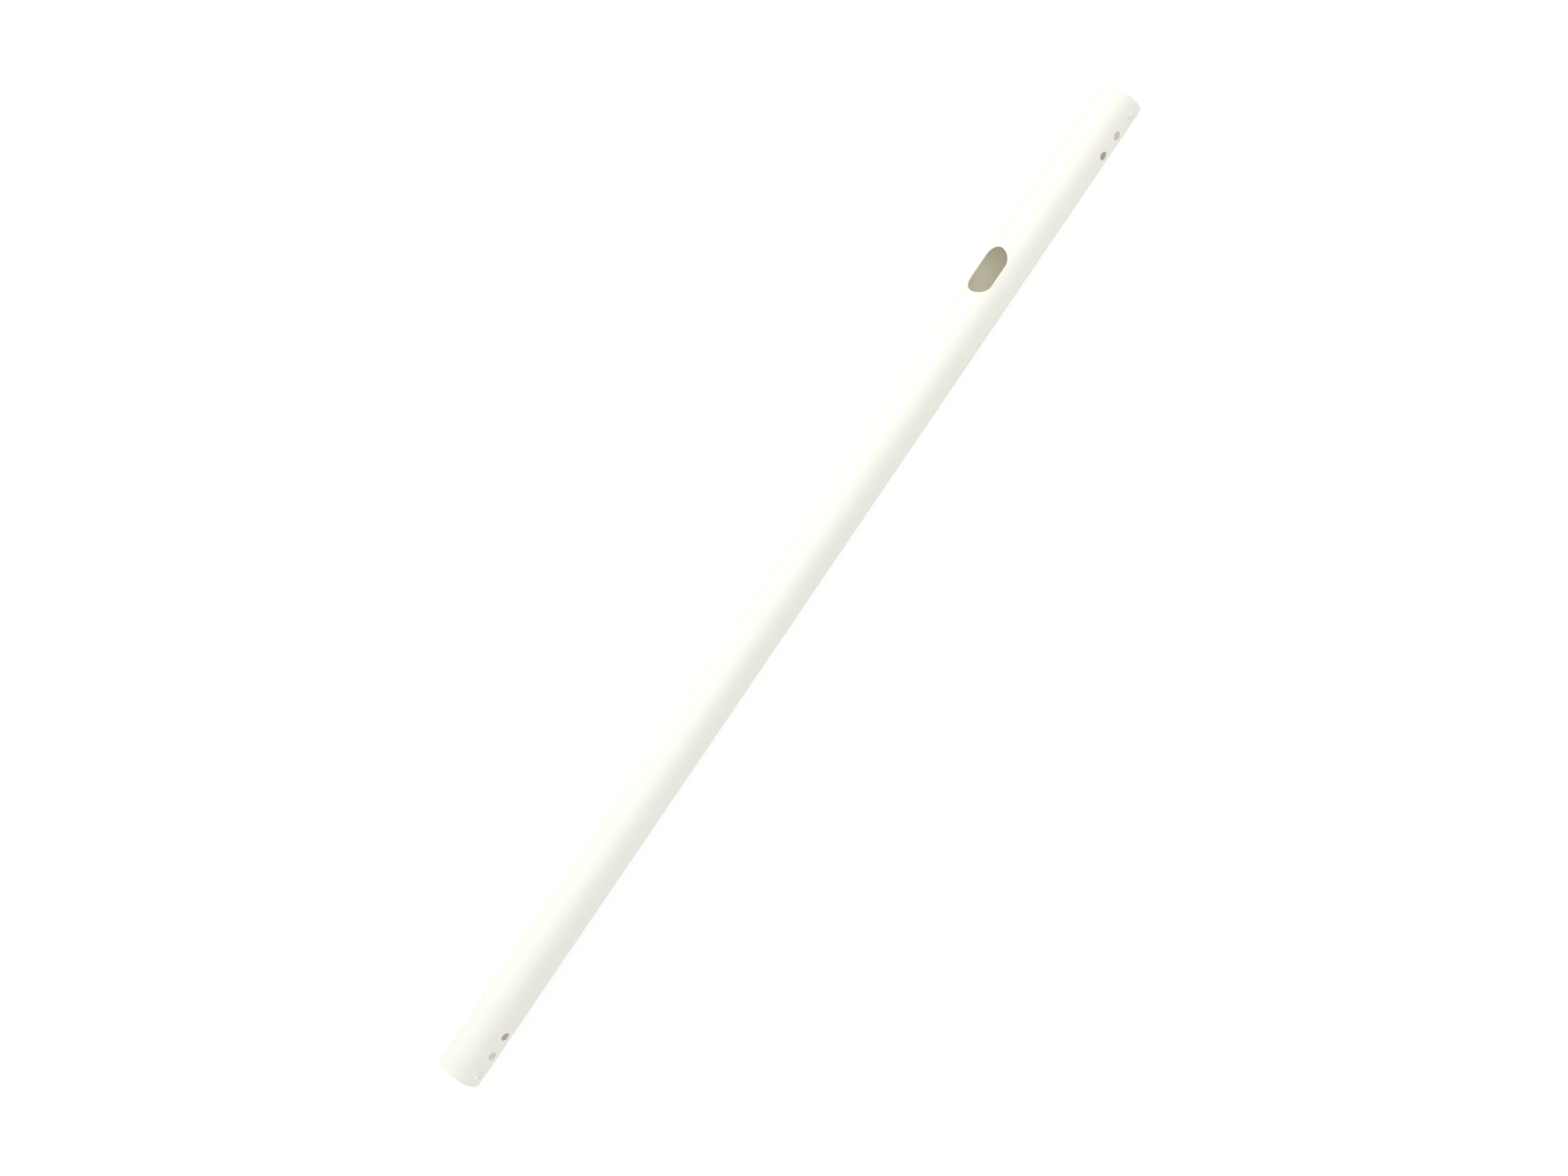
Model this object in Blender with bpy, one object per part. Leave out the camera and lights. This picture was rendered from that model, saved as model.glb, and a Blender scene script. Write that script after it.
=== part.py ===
"""White cane shaft: one straight, open-ended tube with a row of holes at each end and an oval slot.

Frame: the tube lies along X, centred on the origin. +X is the end nearest the slot.
The slot opens towards +Z and both rows of holes open towards -Y, a quarter turn away.
All the driving sizes below are in millimetres and are turned into metres by mm().
"""

import math

import bmesh
import bpy
from mathutils import Matrix, Vector

# Driving dimensions, mm
TUBE_LENGTH = 620.0
TUBE_RADIUS = 12.5
WALL = 0.65
END_CHAMFER = 0.12

HOLE_RADIUS = 2.4
HOLE_PITCH = 12.5
FIRST_HOLE_FROM_END = 7.0
HOLES_PER_ROW = 3

SLOT_WIDTH = 14.6
SLOT_LENGTH = 27.2
SLOT_FROM_END = 114.2

# Facets: even counts, so that a facet corner lies on each of the tube's quarter lines
TUBE_SEGMENTS = 96
HOLE_SEGMENTS = 32
SLOT_END_SEGMENTS = 24

# A cutter reaches this far outside the tube, and stops this far short of its centre line
CUTTER_CLEARANCE = 3.0

TUBE_COLOUR = (0.86, 0.86, 0.81, 1.0)
TUBE_ROUGHNESS = 0.45

# Two faces that meet at more than this angle, in degrees, are shaded as a sharp edge
SHARP_ANGLE = 30.0


def mm(value):
    """Millimetres to Blender's metres."""
    return value * 0.001


def clear_scene():
    """Remove whatever the open file holds."""
    for obj in list(bpy.data.objects):
        bpy.data.objects.remove(obj, do_unlink=True)


def link_mesh(name, bm):
    """Turn a bmesh into a named object in the scene."""
    bmesh.ops.recalc_face_normals(bm, faces=bm.faces)
    mesh = bpy.data.meshes.new(name)
    bm.to_mesh(mesh)
    bm.free()
    obj = bpy.data.objects.new(name, mesh)
    bpy.context.scene.collection.objects.link(obj)
    return obj


def make_plastic():
    """Satin white plastic, coloured right through, so that the bore is white as well."""
    material = bpy.data.materials.new("white_plastic")
    material.use_nodes = True
    shader = material.node_tree.nodes["Principled BSDF"]
    shader.inputs["Base Color"].default_value = TUBE_COLOUR
    shader.inputs["Roughness"].default_value = TUBE_ROUGHNESS
    shader.inputs["Metallic"].default_value = 0.0
    return material


def wall_section():
    """The wall's cut section as (x, radius) points: a long strip with its four corners chamfered."""
    half = TUBE_LENGTH / 2
    inner_radius = TUBE_RADIUS - WALL
    right_end = [
        (half - END_CHAMFER, TUBE_RADIUS),
        (half, TUBE_RADIUS - END_CHAMFER),
        (half, inner_radius + END_CHAMFER),
        (half - END_CHAMFER, inner_radius),
    ]
    left_end = [(-x, radius) for x, radius in reversed(right_end)]
    return right_end + left_end


def make_tube():
    """Turn the wall's section once round the X axis."""
    bm = bmesh.new()
    corners = [bm.verts.new((mm(x), 0.0, mm(radius))) for x, radius in wall_section()]
    edges = [bm.edges.new((a, b)) for a, b in zip(corners, corners[1:] + corners[:1])]
    bmesh.ops.spin(
        bm,
        geom=corners + edges,
        cent=(0.0, 0.0, 0.0),
        axis=(1.0, 0.0, 0.0),
        angle=math.tau,
        steps=TUBE_SEGMENTS,
        use_merge=True,
    )
    tube = link_mesh("shaft_tube", bm)
    tube.data.materials.append(make_plastic())
    return tube


def prism(name, outline, placement):
    """Extrude a closed outline of (u, v) points from near the tube's centre line to outside the wall."""
    bm = bmesh.new()
    floor = [bm.verts.new((mm(u), mm(v), mm(CUTTER_CLEARANCE))) for u, v in outline]
    bm.faces.new(floor)
    risen = bmesh.ops.extrude_face_region(bm, geom=bm.faces[:])
    top = [item for item in risen["geom"] if isinstance(item, bmesh.types.BMVert)]
    bmesh.ops.translate(bm, verts=top, vec=Vector((0.0, 0.0, mm(TUBE_RADIUS))))
    bmesh.ops.transform(bm, matrix=placement, verts=bm.verts)
    cutter = link_mesh(name, bm)
    cutter.hide_render = True
    cutter.display_type = "WIRE"
    return cutter


def arc(centre_u, radius, start, sweep, segments):
    """Points along an arc about (centre_u, 0), both ends included."""
    angles = [start + sweep * step / segments for step in range(segments + 1)]
    return [(centre_u + radius * math.cos(angle), radius * math.sin(angle)) for angle in angles]


def slot_cutter():
    """Oval slot through the +Z side: two half circles joined by straight sides along X."""
    radius = SLOT_WIDTH / 2
    half_straight = (SLOT_LENGTH - SLOT_WIDTH) / 2
    outline = arc(half_straight, radius, -math.pi / 2, math.pi, SLOT_END_SEGMENTS)
    outline += arc(-half_straight, radius, math.pi / 2, math.pi, SLOT_END_SEGMENTS)
    centre_x = mm(TUBE_LENGTH / 2 - SLOT_FROM_END)
    return prism("slot_cutter", outline, Matrix.Translation((centre_x, 0.0, 0.0)))


def hole_positions():
    """X of every hole: a row of evenly spaced holes counted inward from each end."""
    first = TUBE_LENGTH / 2 - FIRST_HOLE_FROM_END
    row = [first - HOLE_PITCH * index for index in range(HOLES_PER_ROW)]
    return row + [-x for x in row]


def hole_cutters():
    """Round holes through the -Y side."""
    outline = arc(0.0, HOLE_RADIUS, 0.0, math.tau, HOLE_SEGMENTS)[:-1]
    quarter_turn = Matrix.Rotation(math.pi / 2, 4, "X")
    cutters = []
    for index, x in enumerate(hole_positions()):
        placement = Matrix.Translation((mm(x), 0.0, 0.0)) @ quarter_turn
        cutters.append(prism(f"hole_cutter_{index + 1}", outline, placement))
    return cutters


def cut(obj, cutters):
    """Cut each cutter out of the object, leaving the modifiers live."""
    for cutter in cutters:
        modifier = obj.modifiers.new(cutter.name, "BOOLEAN")
        modifier.operation = "DIFFERENCE"
        modifier.solver = "EXACT"
        modifier.object = cutter


def shade_round(obj):
    """Smooth shading that breaks at the rims."""
    obj.data.shade_smooth()
    obj.data.set_sharp_from_angle(angle=math.radians(SHARP_ANGLE))


def build():
    """The tube, with its slot and holes cut by live modifiers."""
    clear_scene()
    tube = make_tube()
    shade_round(tube)
    cut(tube, [slot_cutter()] + hole_cutters())


build()
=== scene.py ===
"""Looks for the white cane shaft: a fine, softly edged tube in satin white plastic on a white floor."""

import math

import bpy
from mathutils import Matrix, Vector


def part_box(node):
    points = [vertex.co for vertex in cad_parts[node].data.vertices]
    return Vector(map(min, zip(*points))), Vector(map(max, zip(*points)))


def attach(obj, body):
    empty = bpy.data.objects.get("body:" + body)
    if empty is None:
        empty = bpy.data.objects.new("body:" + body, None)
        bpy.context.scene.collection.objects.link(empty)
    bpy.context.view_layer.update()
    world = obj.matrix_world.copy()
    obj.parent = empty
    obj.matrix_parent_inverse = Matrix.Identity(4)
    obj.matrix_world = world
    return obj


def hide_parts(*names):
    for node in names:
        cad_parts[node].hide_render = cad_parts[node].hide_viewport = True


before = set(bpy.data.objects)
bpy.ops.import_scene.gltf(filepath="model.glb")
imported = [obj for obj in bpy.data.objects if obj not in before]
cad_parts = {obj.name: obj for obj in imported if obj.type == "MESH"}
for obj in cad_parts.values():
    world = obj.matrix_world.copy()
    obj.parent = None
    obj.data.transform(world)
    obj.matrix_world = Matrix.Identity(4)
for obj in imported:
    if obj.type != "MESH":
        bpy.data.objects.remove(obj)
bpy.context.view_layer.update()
TUBE_LOW, TUBE_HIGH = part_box("shaft_tube")

MM = 0.001

# The tube's size comes from its CAD node, and its features repeat the CAD design's sizes.
LENGTH = TUBE_HIGH[0] - TUBE_LOW[0]
RADIUS = (TUBE_HIGH[2] - TUBE_LOW[2]) / 2
CENTRE = (Vector(TUBE_LOW) + Vector(TUBE_HIGH)) / 2
WALL = 0.65 * MM
HOLE_RADIUS = 2.4 * MM
HOLE_PITCH = 12.5 * MM
FIRST_HOLE_FROM_END = 7.0 * MM
HOLES_PER_ROW = 3
SLOT_WIDTH = 14.6 * MM
SLOT_LENGTH = 27.2 * MM
SLOT_FROM_END = 114.2 * MM

# Rounding left by deburring
CUT_ROUNDING = 0.10 * MM
RIM_ROUNDING = 0.14 * MM
ROUNDING_STEPS = 4

# The tube's mesh is a grid of columns round it and rows along it. Angles are counted from +Z towards -Y.
COLUMNS = 120
COLUMN_ANGLE = math.tau / COLUMNS
HOLE_ANGLE = math.pi / 2
SLOT_ANGLE = 0.0
HOLE_HALF_COLUMNS = 5
SLOT_HALF_COLUMNS = 14
HOLE_ROWS = 10
SLOT_ROWS = 46
BLOCK_MARGIN = 0.95 * MM
PLAIN_ROW_LENGTH = 6.0 * MM
RINGS_ROUND_CUT = 3

# Places of the three finishes in the tube's material list
OUTSIDE = 0
CUT_EDGE = 1
BORE = 2

# Linear colours: each finish's paler and deeper tone
OUTSIDE_TONES = [(0.707, 0.704, 0.647), (0.683, 0.679, 0.620)]
# The cut edges' tones are paler than the outside's: partly deburred plastic, partly painted light that
# brightens the shaded cut faces.
CUT_EDGE_TONES = [(0.78, 0.775, 0.715), (0.74, 0.735, 0.675)]
# Painted light: the bore's tones are paler and warmer than the outside's, to brighten and warm the shaded
# bore.
BORE_TONES = [(0.966, 0.944, 0.832), (0.946, 0.918, 0.794)]
# Painted light: whiter, less warm bore tones near the open ends, where light comes straight in, and how
# far in from each end they ease away.
BORE_END_PAINTED_LIGHT_TONES = [(0.962, 0.958, 0.915), (0.946, 0.940, 0.889)]
BORE_END_PAINTED_LIGHT_REACH = 25.0 * MM
SPECULAR_LEVEL = 0.25

# Where on a noise pattern a drift of tone or of roughness starts and ends
TONE_STOPS = (0.35, 0.65)
ROUGHNESS_STOPS = (0.3, 0.7)

# Camera, in terms of the tube
SENSOR_WIDTH = 36.0
FOCAL_LENGTH = 40.13
CAMERA_DISTANCE = 73.57 * RADIUS
CAMERA_ELEVATION = math.radians(52.7)
CAMERA_ALONG_TUBE = 2.158 * RADIUS
AIM_ACROSS_TUBE = -0.122 * RADIUS
TUBE_LEAN = math.radians(34.15)
CLIP_END = 50.0

# Surround, as radiances and as shares of them
SURROUND_STRENGTH = 0.73
SIDE_WALL_STRENGTH = 2.1
SIDE_WALL_START = 0.3
BACK_WALL_SHARE = 0.45
PLAIN_END_SHARE = 1.15
HORIZON_STRENGTH = 1.08
HORIZON_HEIGHT = 0.40

# Soft panels: places from the tube's centre and sizes in metres, powers in watts
KEY_PLACE = (0.27, 0.33, 0.79)
KEY_SIZE = 0.45
KEY_POWER = 3.8
FILL_PLACE = (0.45, -0.40, 0.50)
FILL_SIZE = 0.35
FILL_POWER = 0.45
END_PANEL_PLACE = (-0.32, 0.30, 0.32)
END_PANEL_SIZE = 0.16
END_PANEL_POWER = 0.4

# Floor: a square that glows a little, with its reach in metres from the tube outward
FLOOR_REACH = 12.0
FLOOR_REFLECTANCE = 0.18
FLOOR_ROUGHNESS = 0.9
FLOOR_GLOW = 0.83


# ---------------------------------------------------------------- camera, light and floor

def make_camera():
    """A camera in front of the tube and above it, turned about its own axis so that the tube leans."""
    to_camera = Vector((0.0, -math.cos(CAMERA_ELEVATION), math.sin(CAMERA_ELEVATION)))
    along = Vector((1.0, 0.0, 0.0))
    across = along.cross(to_camera)
    position = CENTRE + to_camera * CAMERA_DISTANCE + along * CAMERA_ALONG_TUBE
    target = CENTRE + across * AIM_ACROSS_TUBE
    forward = (target - position).normalized()
    tube_up = (along - forward * along.dot(forward)).normalized()
    tube_right = forward.cross(tube_up)
    up = tube_up * math.cos(TUBE_LEAN) - tube_right * math.sin(TUBE_LEAN)
    right = forward.cross(up)
    turn = Matrix((right, up, -forward)).transposed().to_4x4()

    data = bpy.data.cameras.new("camera")
    data.sensor_width = SENSOR_WIDTH
    data.lens = FOCAL_LENGTH
    data.clip_end = CLIP_END
    camera = bpy.data.objects.new("camera", data)
    camera.matrix_world = Matrix.Translation(position) @ turn
    bpy.context.scene.collection.objects.link(camera)
    bpy.context.scene.camera = camera


def eased(tree, source, span, values):
    """A value that eases from one number to another while the source crosses a span."""
    ramp = tree.nodes.new("ShaderNodeMapRange")
    ramp.interpolation_type = "SMOOTHSTEP"
    ramp.inputs["From Min"].default_value = span[0]
    ramp.inputs["From Max"].default_value = span[1]
    ramp.inputs["To Min"].default_value = values[0]
    ramp.inputs["To Max"].default_value = values[1]
    tree.links.new(source, ramp.inputs["Value"])
    return ramp.outputs["Result"]


def maths(tree, operation, *sources):
    """The result of one operation on one or two values."""
    node = tree.nodes.new("ShaderNodeMath")
    node.operation = operation
    for source, socket in zip(sources, node.inputs):
        tree.links.new(source, socket)
    return node.outputs["Value"]


def make_world():
    """A pale surround: bright beyond the tube's ends, dimmer behind it, and white along the horizon."""
    world = bpy.data.worlds.new("pale_surround")
    world.use_nodes = True
    tree = world.node_tree
    background = tree.nodes["Background"]
    background.inputs["Color"].default_value = (1.0, 1.0, 1.0, 1.0)
    direction = tree.nodes.new("ShaderNodeTexCoord")
    split = tree.nodes.new("ShaderNodeSeparateXYZ")
    tree.links.new(direction.outputs["Generated"], split.inputs["Vector"])
    x, y, z = split.outputs

    sideways = maths(tree, "ABSOLUTE", x)
    walls = eased(tree, sideways, (SIDE_WALL_START, 1.0), (SURROUND_STRENGTH, SIDE_WALL_STRENGTH))
    back = eased(tree, y, (0.0, 1.0), (1.0, BACK_WALL_SHARE))
    plain_end = eased(tree, x, (-1.0, 0.0), (PLAIN_END_SHARE, 1.0))
    horizon = eased(tree, z, (0.0, HORIZON_HEIGHT), (HORIZON_STRENGTH, 0.0))
    surround = maths(tree, "MULTIPLY", maths(tree, "MULTIPLY", walls, back), plain_end)
    strength = maths(tree, "MAXIMUM", surround, horizon)
    tree.links.new(strength, background.inputs["Strength"])
    bpy.context.scene.world = world


def make_panel(name, place, size, power):
    """A square soft panel at a place given from the tube's centre, facing that centre."""
    data = bpy.data.lights.new(name, "AREA")
    data.shape = "SQUARE"
    data.size = size
    data.energy = power
    light = bpy.data.objects.new(name, data)
    light.location = CENTRE + Vector(place)
    light.rotation_euler = Vector(place).to_track_quat("Z", "Y").to_euler()
    light.visible_camera = False
    bpy.context.scene.collection.objects.link(light)


def make_lights():
    """A key panel above the slot end, a weak fill in front of it, and a small panel by the plain end."""
    make_panel("key_panel", KEY_PLACE, KEY_SIZE, KEY_POWER)
    make_panel("fill_panel", FILL_PLACE, FILL_SIZE, FILL_POWER)
    make_panel("end_panel", END_PANEL_PLACE, END_PANEL_SIZE, END_PANEL_POWER)


def make_floor():
    """A white floor that glows a little, as a light table does, so that shadows on it are faint."""
    reach = FLOOR_REACH
    mesh = bpy.data.meshes.new("floor")
    corners = [(-reach, -reach, 0.0), (reach, -reach, 0.0), (reach, reach, 0.0), (-reach, reach, 0.0)]
    mesh.from_pydata(corners, [], [(0, 1, 2, 3)])
    floor = bpy.data.objects.new("floor", mesh)
    floor.location = (CENTRE.x, CENTRE.y, TUBE_LOW[2])
    material = bpy.data.materials.new("floor_white")
    material.use_nodes = True
    shader = material.node_tree.nodes["Principled BSDF"]
    shader.inputs["Base Color"].default_value = (FLOOR_REFLECTANCE,) * 3 + (1.0,)
    shader.inputs["Roughness"].default_value = FLOOR_ROUGHNESS
    shader.inputs["Specular IOR Level"].default_value = 0.0
    shader.inputs["Emission Color"].default_value = (1.0, 1.0, 1.0, 1.0)
    shader.inputs["Emission Strength"].default_value = FLOOR_GLOW
    mesh.materials.append(material)
    bpy.context.scene.collection.objects.link(floor)


# ---------------------------------------------------------------- the tube's mesh

class Skin:
    """The mesh as it grows: vertices with their true normals, faces, and each face's finish."""

    def __init__(self):
        self.points = []
        self.normals = []
        self.faces = []
        self.finishes = []

    def add(self, point, normal):
        """Add a vertex and return its number."""
        self.points.append(point)
        self.normals.append(normal)
        return len(self.points) - 1

    def add_face(self, corners, finish):
        """Add a face. Its corners run anticlockwise, seen from outside the plastic."""
        self.faces.append(tuple(corners))
        self.finishes.append(finish)

    def bridge(self, first, second, finish):
        """Quads between two closed rings that have the same number of vertices."""
        count = len(first)
        for index in range(count):
            after = (index + 1) % count
            self.add_face((first[index], second[index], second[after], first[after]), finish)


def radial(angle):
    """Unit vector out of the tube at an angle counted from +Z towards -Y."""
    return Vector((0.0, -math.sin(angle), math.cos(angle)))


def block_rows(centre_x, half_length, count):
    """Evenly spaced rows across a block that is centred on a cut."""
    return [centre_x - half_length + 2 * half_length * row / count for row in range(count + 1)]


def rounding():
    """Turn angles over a quarter circle, ends included."""
    return [math.pi / 2 * step / ROUNDING_STEPS for step in range(ROUNDING_STEPS + 1)]


class Cut:
    """A hole or slot cut straight through one wall, and the block of the tube's grid that it takes up."""

    def __init__(self, centre_x, angle, radius, half_straight, half_columns, rows):
        self.centre_x = centre_x
        self.angle = angle
        self.radius = radius
        self.half_straight = half_straight
        half_length = half_straight + radius + BLOCK_MARGIN
        self.rows = block_rows(centre_x, half_length, rows)
        middle = round(angle / COLUMN_ANGLE)
        self.columns = list(range(middle - half_columns, middle + half_columns + 1))

    def stretches(self):
        """The outline from its +X end: each stretch's length, its turn angles and its centres along X."""
        quarter = math.pi / 2
        straight = self.half_straight
        return [
            (quarter * self.radius, (0.0, quarter), (straight, straight)),
            (2 * straight, (quarter, quarter), (straight, -straight)),
            (2 * quarter * self.radius, (quarter, 3 * quarter), (-straight, -straight)),
            (2 * straight, (3 * quarter, 3 * quarter), (-straight, straight)),
            (quarter * self.radius, (3 * quarter, 4 * quarter), (straight, straight)),
        ]

    def outline(self, share, grow):
        """A point on the cut's outline, grown outward, and the normal there, in the drilling plane.

        share runs from 0 to 1 round the outline, starting at its +X end.
        """
        stretches = self.stretches()
        remaining = share * sum(length for length, _, _ in stretches)
        for length, turns, centres in stretches:
            if remaining <= length:
                break
            remaining -= length
        part = remaining / length
        turn = turns[0] + (turns[1] - turns[0]) * part
        centre_u = centres[0] + (centres[1] - centres[0]) * part
        normal = (math.cos(turn), math.sin(turn))
        reach = self.radius + grow
        return (centre_u + reach * normal[0], reach * normal[1]), normal

    def border(self):
        """The block's border as (row, column) places, going the same way round as the outline."""
        rows = len(self.rows) - 1
        columns = len(self.columns) - 1
        half = columns // 2
        places = [(rows, column) for column in range(half, columns)]
        places += [(row, columns) for row in range(rows, 0, -1)]
        places += [(0, column) for column in range(columns, 0, -1)]
        places += [(row, 0) for row in range(rows)]
        places += [(rows, column) for column in range(half)]
        return places

    def shares(self):
        """How far round the outline each border place is matched, from 0 to 1."""
        count = len(self.border())
        return [place / count for place in range(count)]

    def on_wall(self, u, v, tube_radius):
        """The x and angle of a cylinder's point that is drilled at (u, v) of the drilling plane."""
        return self.centre_x + u, self.angle + math.asin(v / tube_radius)


def cylinder_point(x, angle, tube_radius):
    """A point of a cylinder round the tube's axis."""
    return Vector((CENTRE.x + x, CENTRE.y, CENTRE.z)) + radial(angle) * tube_radius


def cuts():
    """Every hole and the slot."""
    half = LENGTH / 2
    found = []
    for side in (1, -1):
        for index in range(HOLES_PER_ROW):
            x = side * (half - FIRST_HOLE_FROM_END - HOLE_PITCH * index)
            found.append(Cut(x, HOLE_ANGLE, HOLE_RADIUS, 0.0, HOLE_HALF_COLUMNS, HOLE_ROWS))
    slot_x = half - SLOT_FROM_END
    straight = (SLOT_LENGTH - SLOT_WIDTH) / 2
    found.append(Cut(slot_x, SLOT_ANGLE, SLOT_WIDTH / 2, straight, SLOT_HALF_COLUMNS, SLOT_ROWS))
    return found


def row_positions(all_cuts):
    """X of every row of the grid: the cuts' own rows, with plain rows between them."""
    half = LENGTH / 2 - RIM_ROUNDING
    rows = [-half]
    for cut in sorted(all_cuts, key=lambda item: item.centre_x):
        fill_rows(rows, cut.rows[0])
        rows.extend(cut.rows[1:])
    fill_rows(rows, half)
    return rows


def fill_rows(rows, end):
    """Add evenly spaced plain rows up to and including end."""
    start = rows[-1]
    count = max(1, math.ceil((end - start) / PLAIN_ROW_LENGTH))
    rows.extend(start + (end - start) * step / count for step in range(1, count + 1))


def wall_grid(skin, rows, buried, tube_radius, facing):
    """One side of the wall as a grid of vertices. facing is 1 outside and -1 in the bore."""
    grid = []
    for row, x in enumerate(rows):
        ring = []
        for column in range(COLUMNS):
            angle = column * COLUMN_ANGLE
            vertex = None
            if (row, column) not in buried:
                vertex = skin.add(cylinder_point(x, angle, tube_radius), radial(angle) * facing)
            ring.append(vertex)
        grid.append(ring)
    return grid


def block_places(all_cuts, rows):
    """The grid's cells that the cuts' blocks take up, and the grid's places inside those blocks."""
    covered = set()
    buried = set()
    for cut in all_cuts:
        first = rows.index(cut.rows[0])
        last = first + len(cut.rows) - 1
        for row in range(first, last):
            covered.update((row, column % COLUMNS) for column in cut.columns[:-1])
        for row in range(first + 1, last):
            buried.update((row, column % COLUMNS) for column in cut.columns[1:-1])
    return covered, buried


def fill_grid(skin, grid, covered, facing):
    """The faces of the cells that no cut's block takes up."""
    for row in range(len(grid) - 1):
        for column in range(COLUMNS):
            if (row, column) in covered:
                continue
            after = (column + 1) % COLUMNS
            corners = [grid[row][column], grid[row][after], grid[row + 1][after], grid[row + 1][column]]
            if facing > 0:
                skin.add_face(corners, OUTSIDE)
            else:
                skin.add_face(reversed(corners), BORE)


def surface_ring(skin, cut, border_places, nearness, tube_radius, facing):
    """A ring on one side of the wall, part of the way from the block's border to the cut's rounding."""
    ring = []
    for (row, column), share in zip(border_places, cut.shares()):
        (u, v), _ = cut.outline(share, CUT_ROUNDING)
        near_x, near_angle = cut.on_wall(u, v, tube_radius)
        far_x = cut.rows[row]
        far_angle = cut.columns[column] * COLUMN_ANGLE
        x = far_x + (near_x - far_x) * nearness
        angle = far_angle + (near_angle - far_angle) * nearness
        ring.append(skin.add(cylinder_point(x, angle, tube_radius), radial(angle) * facing))
    return ring


def edge_ring(skin, cut, grow, depth, outward, inward):
    """A ring on one of the cut's two rounded edges.

    grow is the distance out from the cut's wall, and depth the distance below the tube's outside.
    outward and inward are the normal's shares of the way out of the tube and of the way into the cut.
    """
    ring = []
    tube_radius = RADIUS - depth
    sideways = radial(cut.angle + math.pi / 2)
    for share in cut.shares():
        (u, v), (normal_u, normal_v) = cut.outline(share, grow)
        x, angle = cut.on_wall(u, v, tube_radius)
        point = cylinder_point(x, angle, tube_radius)
        into_cut = -(Vector((normal_u, 0.0, 0.0)) + sideways * normal_v)
        normal = radial(angle) * outward + into_cut * inward
        ring.append(skin.add(point, normal.normalized()))
    return ring


def cut_rings(skin, cut, grids, rows):
    """Rings from the block's border outside, through the wall, to the block's border inside."""
    first = rows.index(cut.rows[0])
    places = cut.border()

    def border_ring(grid):
        return [grid[first + row][cut.columns[column] % COLUMNS] for row, column in places]

    outside, inside = grids
    steps = [step / RINGS_ROUND_CUT for step in range(1, RINGS_ROUND_CUT)]
    rings = [border_ring(outside)]
    rings += [surface_ring(skin, cut, places, near, RADIUS, 1) for near in steps]
    for turn in rounding():
        grow = CUT_ROUNDING * (1 - math.sin(turn))
        depth = CUT_ROUNDING * (1 - math.cos(turn))
        rings.append(edge_ring(skin, cut, grow, depth, math.cos(turn), math.sin(turn)))
    for turn in rounding():
        grow = CUT_ROUNDING * (1 - math.cos(turn))
        depth = WALL - CUT_ROUNDING * (1 - math.sin(turn))
        rings.append(edge_ring(skin, cut, grow, depth, -math.sin(turn), math.cos(turn)))
    inner_radius = RADIUS - WALL
    rings += [surface_ring(skin, cut, places, near, inner_radius, -1) for near in reversed(steps)]
    rings.append(border_ring(inside))
    surface_gaps = len(steps) + 1
    cut_gaps = len(rings) - 1 - 2 * surface_gaps
    finishes = [OUTSIDE] * surface_gaps + [CUT_EDGE] * cut_gaps + [BORE] * surface_gaps
    for outer_ring, inner_ring, finish in zip(rings, rings[1:], finishes):
        skin.bridge(outer_ring, inner_ring, finish)


def rim_rings(skin, side, outside_ring, inside_ring):
    """The tube's end face: rounded from the outside, flat across the wall, rounded into the bore."""
    half = LENGTH / 2
    inner_radius = RADIUS - WALL
    sections = []
    for turn in rounding()[1:]:
        x = half - RIM_ROUNDING * (1 - math.sin(turn))
        ring_radius = RADIUS - RIM_ROUNDING * (1 - math.cos(turn))
        sections.append((x, ring_radius, math.sin(turn), math.cos(turn)))
    for turn in rounding()[:-1]:
        x = half - RIM_ROUNDING * (1 - math.cos(turn))
        ring_radius = inner_radius + RIM_ROUNDING * (1 - math.sin(turn))
        sections.append((x, ring_radius, math.cos(turn), -math.sin(turn)))
    rings = [outside_ring]
    for x, ring_radius, along, out in sections:
        ring = []
        for column in range(COLUMNS):
            angle = column * COLUMN_ANGLE
            normal = Vector((side * along, 0.0, 0.0)) + radial(angle) * out
            ring.append(skin.add(cylinder_point(side * x, angle, ring_radius), normal))
        rings.append(ring)
    rings.append(inside_ring)
    for first, second in zip(rings, rings[1:]):
        if side > 0:
            skin.bridge(second, first, CUT_EDGE)
        else:
            skin.bridge(first, second, CUT_EDGE)


def make_tube():
    """The whole tube as one closed skin."""
    skin = Skin()
    all_cuts = cuts()
    rows = row_positions(all_cuts)
    covered, buried = block_places(all_cuts, rows)
    outside = wall_grid(skin, rows, buried, RADIUS, 1)
    inside = wall_grid(skin, rows, buried, RADIUS - WALL, -1)
    fill_grid(skin, outside, covered, 1)
    fill_grid(skin, inside, covered, -1)
    for cut in all_cuts:
        cut_rings(skin, cut, (outside, inside), rows)
    rim_rings(skin, 1, outside[-1], inside[-1])
    rim_rings(skin, -1, outside[0], inside[0])

    mesh = bpy.data.meshes.new("tube")
    mesh.from_pydata(skin.points, [], skin.faces)
    mesh.shade_smooth()
    mesh.normals_split_custom_set_from_vertices(skin.normals)
    mesh.polygons.foreach_set("material_index", skin.finishes)
    tube = bpy.data.objects.new("tube", mesh)
    bpy.context.scene.collection.objects.link(tube)
    return tube


# ---------------------------------------------------------------- materials

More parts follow.
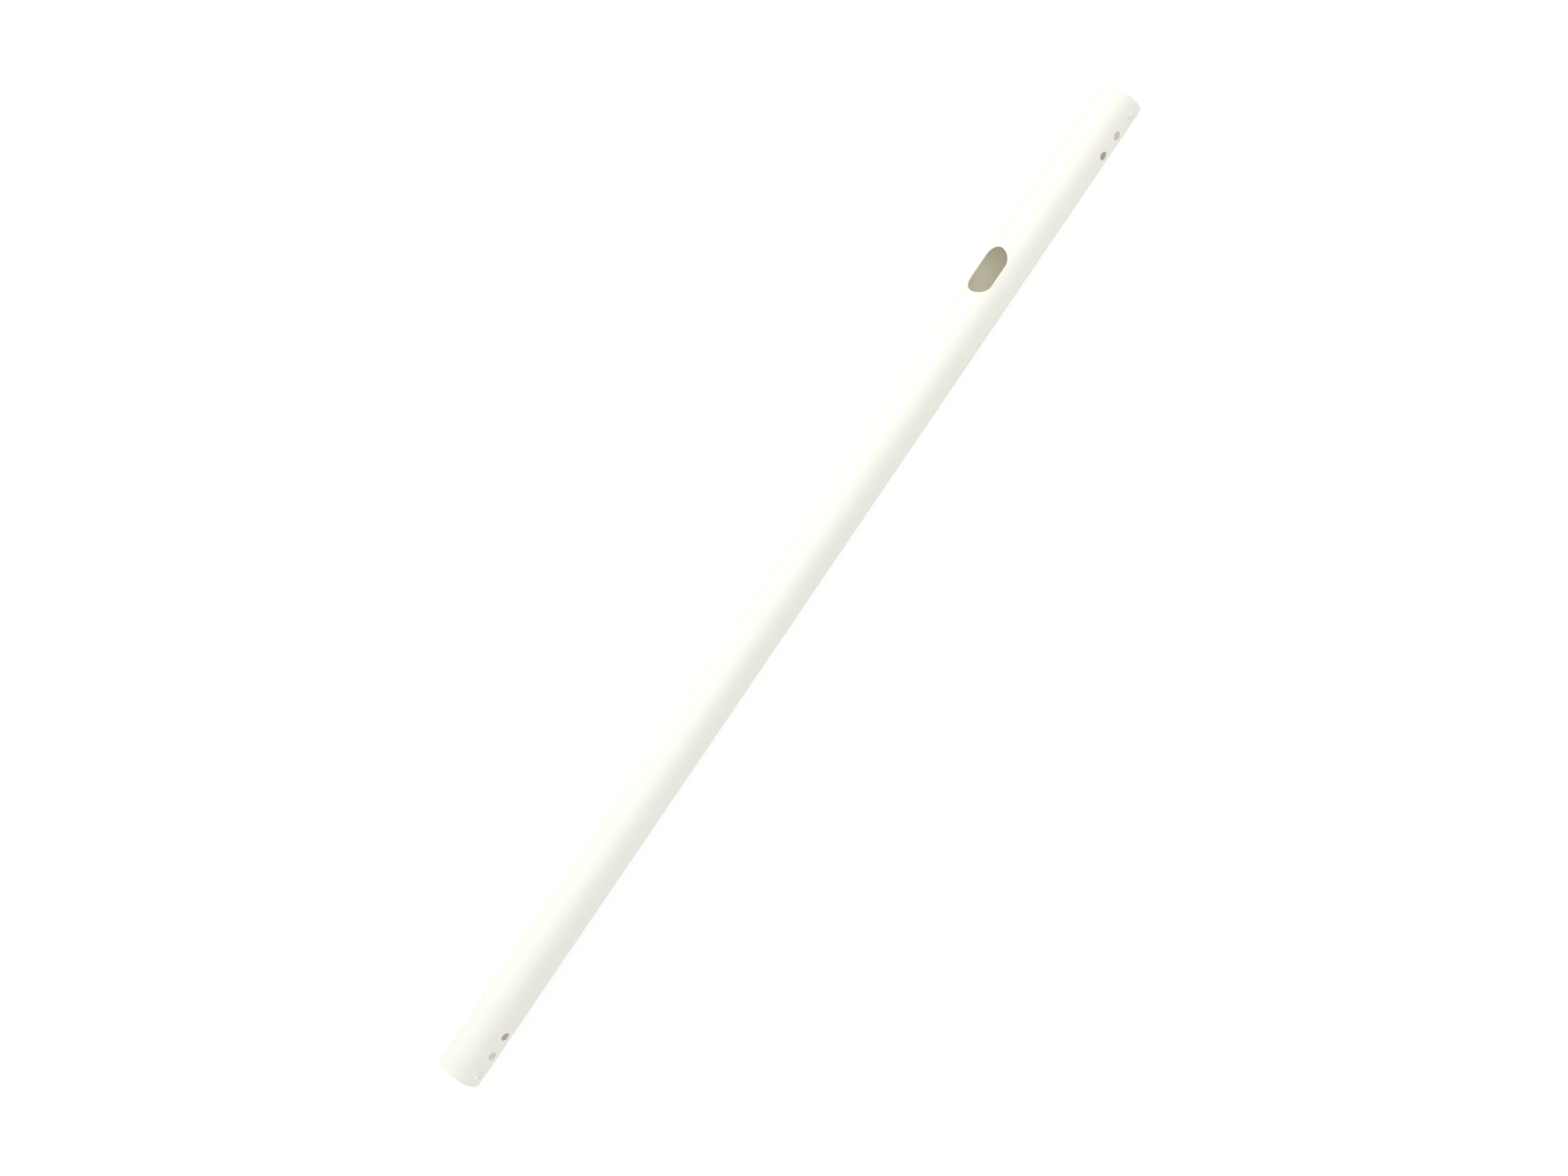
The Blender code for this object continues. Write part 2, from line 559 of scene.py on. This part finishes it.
class Finish:
    """A plastic finish built from nodes. Its textures follow the tube's own coordinates, in metres."""

    def __init__(self, name):
        self.material = bpy.data.materials.new(name)
        self.material.use_nodes = True
        self.tree = self.material.node_tree
        self.nodes = self.tree.nodes
        self.links = self.tree.links
        self.shader = self.nodes["Principled BSDF"]
        self.shader.inputs["Specular IOR Level"].default_value = SPECULAR_LEVEL
        self.place = self.nodes.new("ShaderNodeTexCoord").outputs["Object"]
        self.relief = None

    def noise(self, along, across, detail=2.0):
        """Noise, with the number of features in a metre along the tube and across it."""
        stretch = self.nodes.new("ShaderNodeMapping")
        stretch.inputs["Scale"].default_value = (along, across, across)
        noise = self.nodes.new("ShaderNodeTexNoise")
        noise.inputs["Scale"].default_value = 1.0
        noise.inputs["Detail"].default_value = detail
        self.links.new(self.place, stretch.inputs["Vector"])
        self.links.new(stretch.outputs["Vector"], noise.inputs["Vector"])
        return noise.outputs["Fac"]

    def average(self, first, second):
        """The mean of two noises."""
        mean = self.nodes.new("ShaderNodeMath")
        mean.operation = "MULTIPLY"
        mean.inputs[1].default_value = 0.5
        self.links.new(maths(self.tree, "ADD", first, second), mean.inputs[0])
        return mean.outputs["Value"]

    def near_ends(self, reach):
        """1 at either end of the tube, easing to 0 a given way in."""
        split = self.nodes.new("ShaderNodeSeparateXYZ")
        self.links.new(self.place, split.inputs["Vector"])
        from_middle = maths(self.tree, "ABSOLUTE", split.outputs["X"])
        return eased(self.tree, from_middle, (LENGTH / 2 - reach, LENGTH / 2), (0.0, 1.0))

    def drift(self, pattern, tones):
        """A colour that drifts between two tones."""
        ramp = self.nodes.new("ShaderNodeValToRGB")
        for stop, position, tone in zip(ramp.color_ramp.elements, TONE_STOPS, tones):
            stop.position = position
            stop.color = tone + (1.0,)
        self.links.new(pattern, ramp.inputs["Fac"])
        return ramp.outputs["Color"]

    def blend(self, share, first, second):
        """A colour part of the way from one colour to another."""
        mix = self.nodes.new("ShaderNodeMix")
        mix.data_type = "RGBA"
        colours = [socket for socket in mix.inputs if socket.type == "RGBA"]
        self.links.new(share, mix.inputs["Factor"])
        for socket, colour in zip(colours, (first, second)):
            self.links.new(colour, socket)
        return next(socket for socket in mix.outputs if socket.type == "RGBA")

    def colour(self, source):
        """Set the base colour."""
        self.links.new(source, self.shader.inputs["Base Color"])

    def roughness(self, pattern, low, high):
        """Roughness that drifts between two values."""
        value = eased(self.tree, pattern, ROUGHNESS_STOPS, (low, high))
        self.links.new(value, self.shader.inputs["Roughness"])

    def bump(self, pattern, depth):
        """Relief of a given depth in metres, laid over the relief already there."""
        bump = self.nodes.new("ShaderNodeBump")
        bump.inputs["Distance"].default_value = depth
        self.links.new(pattern, bump.inputs["Height"])
        if self.relief:
            self.links.new(self.relief, bump.inputs["Normal"])
        self.relief = bump.outputs["Normal"]
        self.links.new(self.relief, self.shader.inputs["Normal"])


def make_outside():
    """Satin white plastic drawn through a die: faint lines along the tube and a fine satin grain."""
    finish = Finish("satin_white_outside")
    die_lines = finish.noise(along=5.0, across=1100.0, detail=3.0)
    patches = finish.noise(along=9.0, across=45.0)
    handling = finish.noise(along=60.0, across=110.0, detail=5.0)
    grain = finish.noise(along=4500.0, across=4500.0)
    finish.colour(finish.drift(finish.average(die_lines, patches), OUTSIDE_TONES))
    finish.roughness(finish.average(die_lines, handling), 0.36, 0.54)
    finish.bump(die_lines, 0.010 * MM)
    finish.bump(grain, 0.002 * MM)
    return finish.material


def make_cut_edge():
    """The same plastic where it was cut and deburred: duller, with fine tool marks, and paler, partly as
    deburred plastic and partly as painted light that brightens the shaded cut faces.
    """
    finish = Finish("white_cut_edge")
    tool_marks = finish.noise(along=1500.0, across=1500.0, detail=4.0)
    smears = finish.noise(along=260.0, across=260.0)
    finish.colour(finish.drift(finish.average(tool_marks, smears), CUT_EDGE_TONES))
    finish.roughness(tool_marks, 0.55, 0.75)
    finish.bump(tool_marks, 0.012 * MM)
    return finish.material


def make_bore():
    """The bore as it left the mandrel: broad lines and a mottle, in paler, warmer tones than the outside
    as painted light, and whiter still near the open ends as painted light where light comes straight in.
    """
    finish = Finish("white_bore")
    mandrel_lines = finish.noise(along=4.0, across=700.0, detail=3.0)
    mottle = finish.noise(along=150.0, across=180.0, detail=4.0)
    pattern = finish.average(mandrel_lines, mottle)
    deep = finish.drift(pattern, BORE_TONES)
    # Painted light: the bore turns whiter near the open ends, where light comes straight in.
    painted_end_light = finish.drift(pattern, BORE_END_PAINTED_LIGHT_TONES)
    finish.colour(finish.blend(finish.near_ends(BORE_END_PAINTED_LIGHT_REACH), deep, painted_end_light))
    finish.roughness(mottle, 0.5, 0.7)
    finish.bump(mandrel_lines, 0.012 * MM)
    finish.bump(mottle, 0.015 * MM)
    return finish.material


# ---------------------------------------------------------------- put together

def main():
    """The setting and the tube, which stands in for its CAD node."""
    bpy.context.scene.view_settings.view_transform = "Standard"
    make_camera()
    make_world()
    make_lights()
    make_floor()
    tube = make_tube()
    for material in (make_outside(), make_cut_edge(), make_bore()):
        tube.data.materials.append(material)
    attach(tube, "root")
    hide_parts("shaft_tube")


main()
